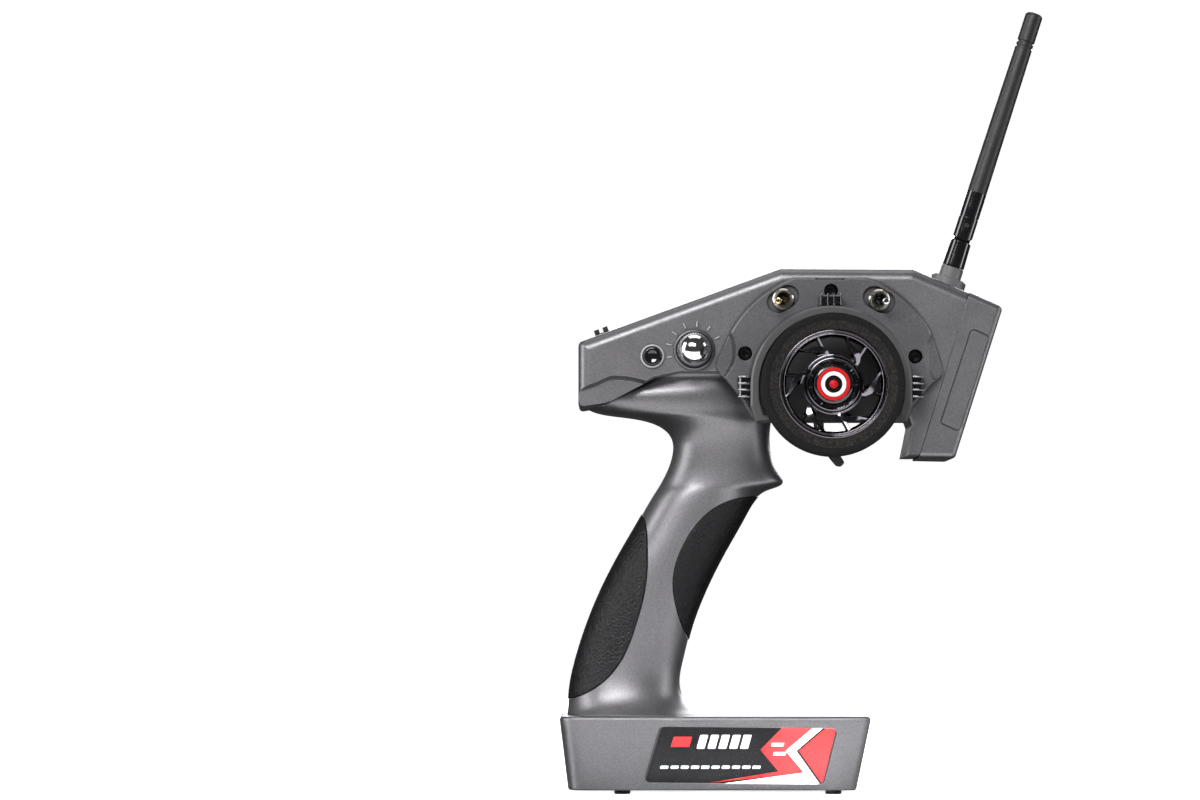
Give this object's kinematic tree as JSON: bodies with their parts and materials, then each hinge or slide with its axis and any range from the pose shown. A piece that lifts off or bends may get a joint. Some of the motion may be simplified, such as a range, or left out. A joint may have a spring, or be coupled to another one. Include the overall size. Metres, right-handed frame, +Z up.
{
  "type": "radio transmitter controller",
  "caption": "Pistol-grip radio controller with a side steering wheel, finger trigger, toggle switches, dial, display and folding antenna on a flat battery base.",
  "frame": {"origin": "middle of the bounding box, at the level of the feet", "axes": "+Z up, +X forwards towards the antenna and nose cover, +Y to the left side, so the steering wheel stands out on the -Y side"},
  "size_m": [0.1932, 0.108, 0.3121],
  "materials": {
    "shell": "satin metallic paint",
    "plate": "satin metallic paint",
    "collar": "satin",
    "gloss_black": "gloss",
    "matte_black": "matt",
    "antenna_grey": "satin",
    "key_grey": "satin",
    "rim_chrome": "dark polished",
    "tyre_foam": "matt foam",
    "cap_red": "gloss",
    "chrome": "polished",
    "brass": "polished",
    "steel": "brushed",
    "screw_black": "black oxide",
    "rubber": "grained",
    "lens": "clear",
    "board": "satin",
    "label": "satin",
    "cell": "satin sleeve",
    "wire": "satin"
  },
  "bodies": {
    "case": {"head_shell_right": "shell", "head_shell_left": "shell", "front_cover": "shell", "grip_shell_right": "shell", "grip_shell_left": "shell", "base_shell": "shell", "steering_plate": "plate", "steering_collar": "collar", "collar_clips": "gloss_black", "knob_ring": "gloss_black", "display_panel": "gloss_black", "button_bezel": "matte_black", "steering_potentiometer": "matte_black", "side_controls": "matte_black", "toggle_bodies": "matte_black", "power_frame": "matte_black", "trigger_potentiometer": "matte_black", "base_plate": "matte_black", "battery_tray": "matte_black", "antenna_collar": "antenna_grey", "toggle_nuts": "chrome", "steering_bearings": "steel", "steering_spring": "steel", "trigger_spring": "steel", "trigger_bracket": "steel", "battery_contacts": "steel", "case_screws": "steel", "plate_screws": "screw_black", "grip_pad_rear": "rubber", "grip_pad_front": "rubber", "base_feet": "rubber", "display_lens": "lens", "display_board": "board", "main_board": "board", "base_label": "label", "battery_cells": "cell", "battery_lead": "wire"},
    "wheel": {"wheel_rim": "rim_chrome", "wheel_tyre": "tyre_foam", "wheel_cap": "cap_red", "wheel_shaft": "steel"},
    "trigger": {"trigger": "matte_black"},
    "knob": {"knob_cap": "chrome"},
    "button": {"button_cap": "gloss_black"},
    "toggle_rear": {"toggle_lever_rear": "brass"},
    "toggle_front": {"toggle_lever_front": "chrome"},
    "key_1": {"key_1": "key_grey"},
    "key_2": {"key_2": "key_grey"},
    "key_3": {"key_3": "key_grey"},
    "key_4": {"key_4": "key_grey"},
    "trim_1": {"trim_rocker_1": "key_grey"},
    "trim_2": {"trim_rocker_2": "key_grey"},
    "power_slider": {"power_slider": "chrome"},
    "antenna_swivel": {"antenna_knuckle": "gloss_black"},
    "antenna_mast": {"antenna_hinge": "gloss_black", "antenna_pin": "chrome", "antenna_mast": "matte_black", "antenna_tip": "matte_black"},
    "battery_door": {"battery_door": "matte_black"}
  },
  "joints": [
    {"name": "wheel_steer", "type": "hinge", "parent": "case", "child": "wheel", "pos_m": [0.0101, -0.0435, 0.16], "axis": [0, 1, 0], "range_deg": [-38, 38], "stiffness_Nm_per_rad": 0.06},
    {"name": "trigger_pull", "type": "hinge", "parent": "case", "child": "trigger", "pos_m": [0.0231, 0.0165, 0.16], "axis": [0, 1, 0], "range_deg": [-12, 20], "stiffness_Nm_per_rad": 0.12},
    {"name": "knob_turn", "type": "hinge", "parent": "case", "child": "knob", "pos_m": [-0.0434, -0.0135, 0.1751], "axis": [0, -1, 0], "range_deg": [-140, 140]},
    {"name": "button_press", "type": "slide", "parent": "case", "child": "button", "axis": [0, 1, 0], "range_m": [0, 0.0012], "stiffness_N_per_m": 700},
    {"name": "toggle_rear_throw", "type": "hinge", "parent": "case", "child": "toggle_rear", "pos_m": [-0.0084, -0.0133, 0.195], "axis": [-0.5, 0, 0.866], "range_deg": [0, 24]},
    {"name": "toggle_front_throw", "type": "hinge", "parent": "case", "child": "toggle_front", "pos_m": [0.0295, -0.0133, 0.1947], "axis": [0.4695, 0, 0.8829], "range_deg": [-24, 0]},
    {"name": "key_1_press", "type": "slide", "parent": "case", "child": "key_1", "axis": [0.3425, 0, -0.9395], "range_m": [0, 0.0007], "stiffness_N_per_m": 500},
    {"name": "key_2_press", "type": "slide", "parent": "case", "child": "key_2", "axis": [0.3425, 0, -0.9395], "range_m": [0, 0.0007], "stiffness_N_per_m": 500},
    {"name": "key_3_press", "type": "slide", "parent": "case", "child": "key_3", "axis": [0.3425, 0, -0.9395], "range_m": [0, 0.0007], "stiffness_N_per_m": 500},
    {"name": "key_4_press", "type": "slide", "parent": "case", "child": "key_4", "axis": [0.3425, 0, -0.9395], "range_m": [0, 0.0007], "stiffness_N_per_m": 500},
    {"name": "trim_1_rock", "type": "hinge", "parent": "case", "child": "trim_1", "pos_m": [-0.05929, 0.0065, 0.18541], "axis": [0.9395, 0, 0.3425], "range_deg": [-4.5, 4.5], "stiffness_Nm_per_rad": 0.02},
    {"name": "trim_2_rock", "type": "hinge", "parent": "case", "child": "trim_2", "pos_m": [-0.05929, 0.0265, 0.18541], "axis": [0.9395, 0, 0.3425], "range_deg": [-4.5, 4.5], "stiffness_Nm_per_rad": 0.02},
    {"name": "power_slide", "type": "slide", "parent": "case", "child": "power_slider", "axis": [0.9395, 0, 0.3425], "range_m": [0, 0.0035]},
    {"name": "antenna_turn", "type": "hinge", "parent": "case", "child": "antenna_swivel", "pos_m": [0.0659, 0.0165, 0.226], "axis": [0.309, 0, 0.9511], "range_deg": [-175, 175]},
    {"name": "antenna_fold", "type": "hinge", "parent": "antenna_swivel", "child": "antenna_mast", "pos_m": [0.0659, 0.0165, 0.226], "axis": [0, 1, 0], "range_deg": [-90, 0]},
    {"name": "battery_door_slide", "type": "slide", "parent": "case", "child": "battery_door", "axis": [0, 1, 0], "range_m": [0, 0.068]}
  ]
}
